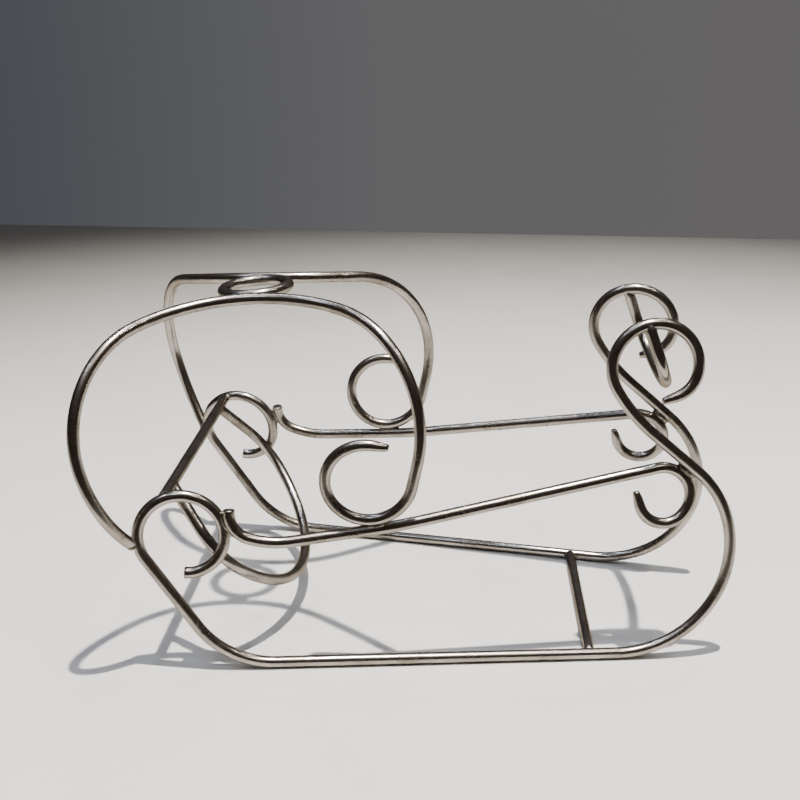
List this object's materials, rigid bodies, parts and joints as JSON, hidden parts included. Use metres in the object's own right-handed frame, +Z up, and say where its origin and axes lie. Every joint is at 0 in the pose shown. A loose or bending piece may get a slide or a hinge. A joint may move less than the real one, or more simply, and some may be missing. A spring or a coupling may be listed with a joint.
{
  "type": "wine bottle cradle",
  "caption": "Bent-wire cradle that holds a wine bottle nearly flat, neck end raised, and pours it by a double arched handle.",
  "frame": {"origin": "middle of the footprint at the table surface", "axes": "+X toward the neck end, +Y to the far side frame, +Z up"},
  "size_m": [0.2781, 0.1634, 0.1565],
  "materials": {
    "wire": "polished silver-toned plate over round wire, tarnished grey-brown, fine rubbing scratches",
    "braze": "plated braze, slightly duller and grainier than the wire"
  },
  "bodies": {
    "root": {"side_frame_near": "wire", "side_frame_far": "wire", "bottle_rail_near": "wire", "bottle_rail_far": "wire", "handle_arch_near": "wire", "handle_arch_far": "wire", "handle_ring": "wire", "rear_bar": "wire", "base_hoop": "wire", "neck_rest": "wire", "foot_bar": "wire", "braze_scrolls": "braze", "braze_hooks": "braze", "braze_ring": "braze", "braze_rear": "braze", "braze_neck": "braze", "braze_foot": "braze"}
  },
  "joints": []
}
